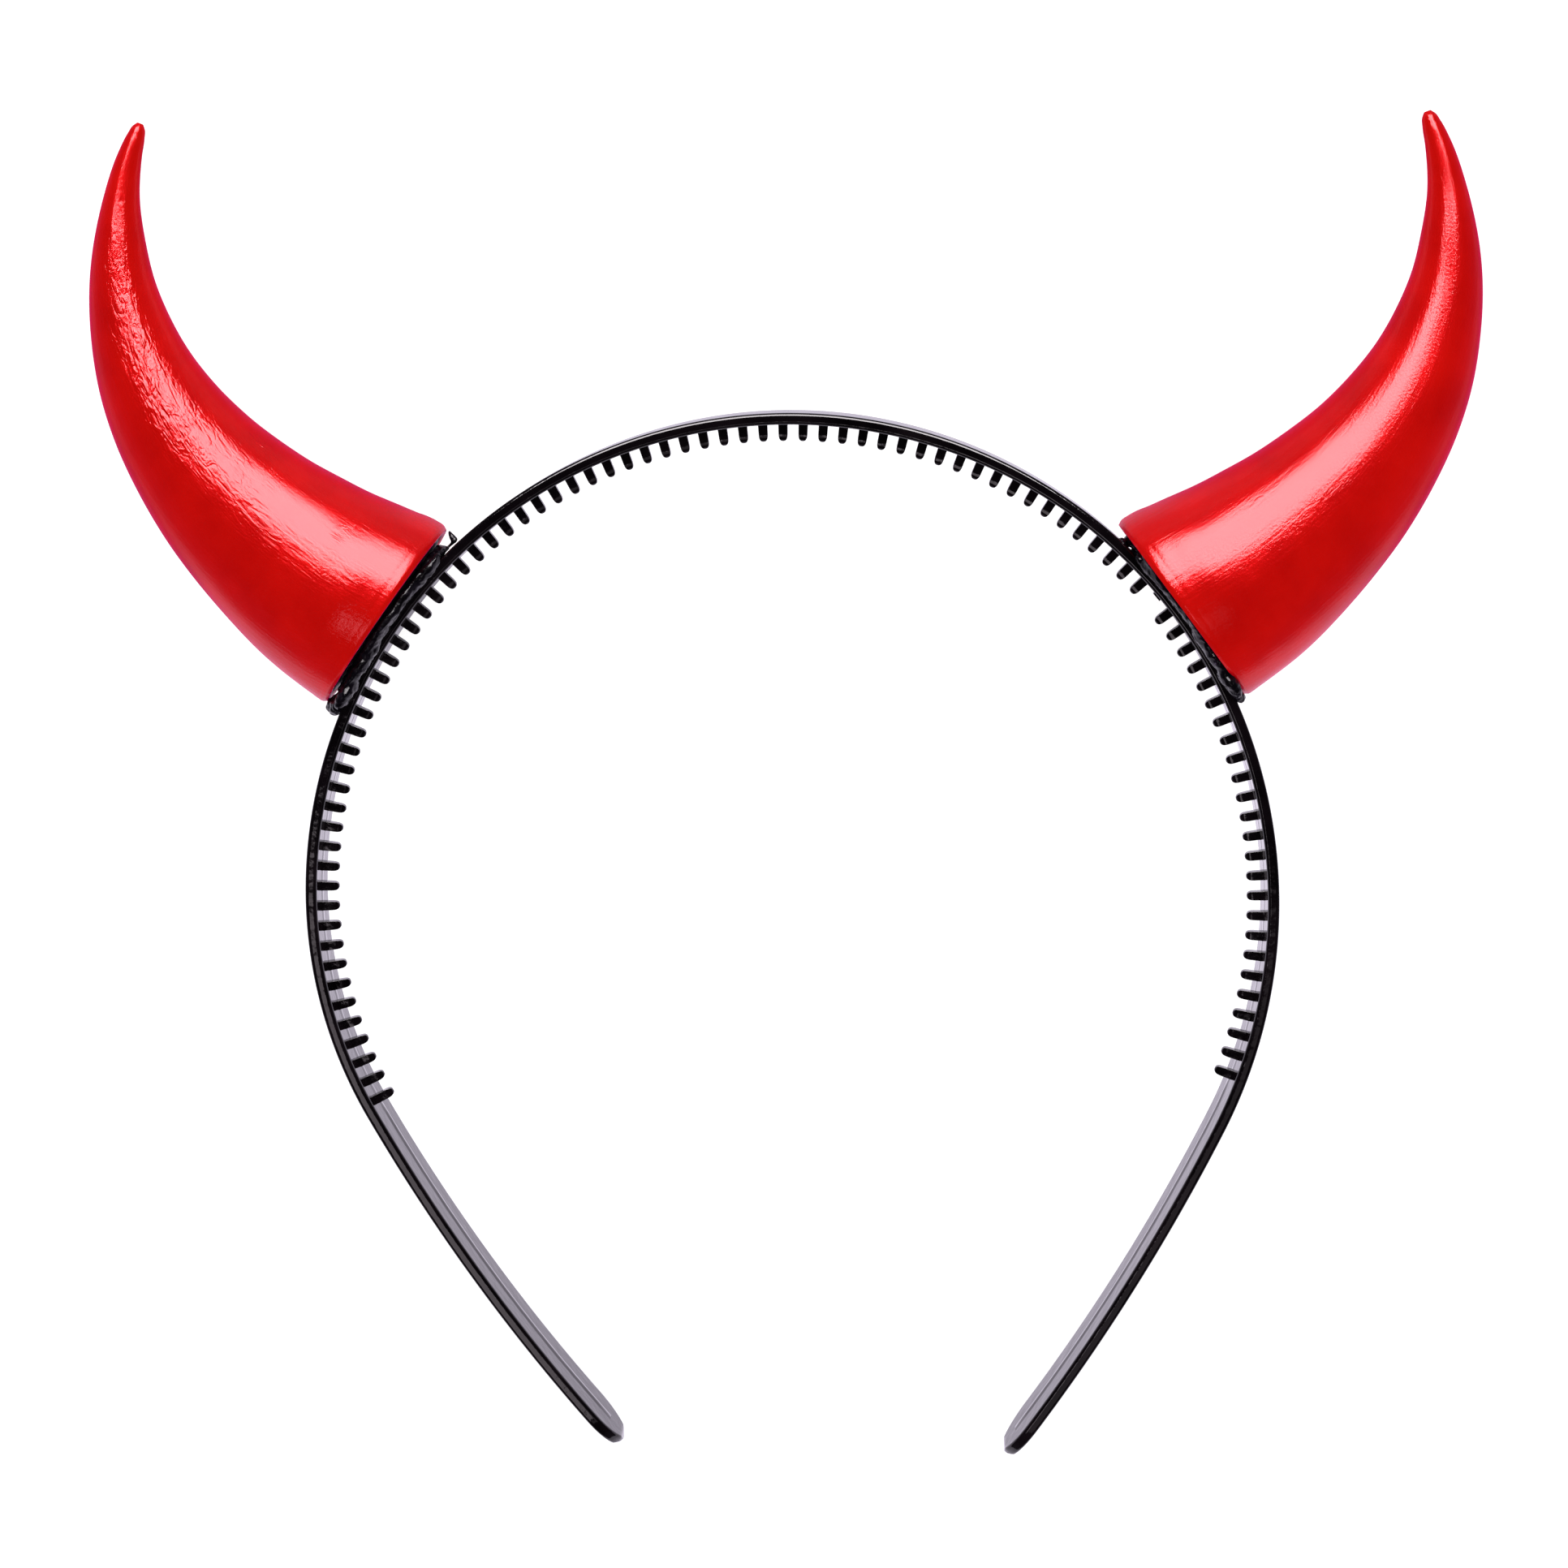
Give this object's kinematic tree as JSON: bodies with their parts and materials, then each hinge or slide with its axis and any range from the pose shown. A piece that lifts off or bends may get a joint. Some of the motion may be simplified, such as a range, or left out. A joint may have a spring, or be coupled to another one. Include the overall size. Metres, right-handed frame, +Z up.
{
  "type": "devil horns headband",
  "caption": "Toothed plastic hoop headband with curved hollow devil horns glued on beside the crown, lying on its back.",
  "frame": {"origin": "on the floor, under the centre of the object's box, where it lies on its back", "axes": "+X toward the wearer's left horn as seen from the front (right in the picture), +Y toward the crown, +Z up, out of the front edge of the hoop"},
  "size_m": [0.1832, 0.1834, 0.0235],
  "materials": {
    "black_plastic": "glossy black moulded plastic",
    "red_plastic": "glossy red coat on a thin moulded shell, a little crinkled and scuffed",
    "dark_plug": "dull black",
    "hot_glue": "dark, cloudy, half see-through glue with a wet gloss"
  },
  "bodies": {
    "root": {"headband": "black_plastic", "horn_left": "red_plastic", "horn_right": "red_plastic", "base_plug_left": "dark_plug", "base_plug_right": "dark_plug", "glue_left": "hot_glue", "glue_right": "hot_glue"}
  },
  "joints": []
}
